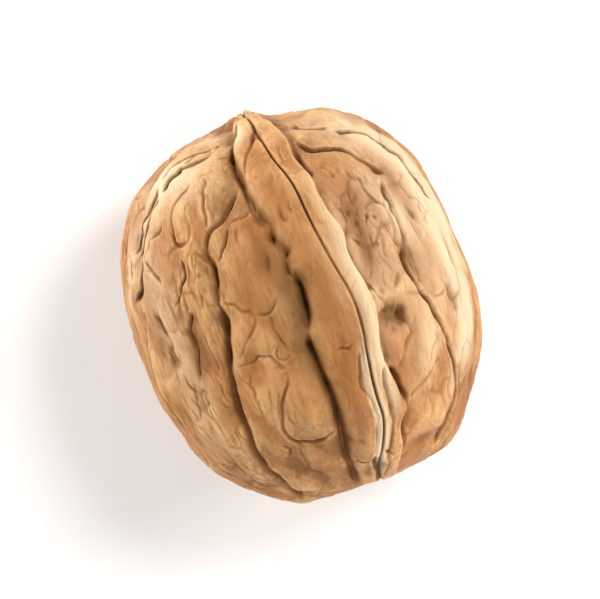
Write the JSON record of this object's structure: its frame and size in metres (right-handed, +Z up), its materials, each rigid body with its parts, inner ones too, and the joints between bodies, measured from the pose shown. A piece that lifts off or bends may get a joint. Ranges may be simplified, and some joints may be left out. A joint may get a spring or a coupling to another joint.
{
  "type": "walnut",
  "caption": "Whole walnut in its closed, furrowed shell, lying on its side with the seam and its ridge up, resting on a small flat spot.",
  "frame": {"origin": "centre of the bottom of the bounding box, on the surface that the nut rests on", "axes": "+Y along the nut from the stem end to the pointed tip, +Z up through the seam side, +X towards the right cheek seen from above with the tip up"},
  "size_m": [0.0346, 0.0398, 0.0358],
  "materials": {
    "shell": "matte, slightly waxy, tan with darker furrows"
  },
  "bodies": {
    "root": {"walnut_shell": "shell"}
  },
  "joints": []
}
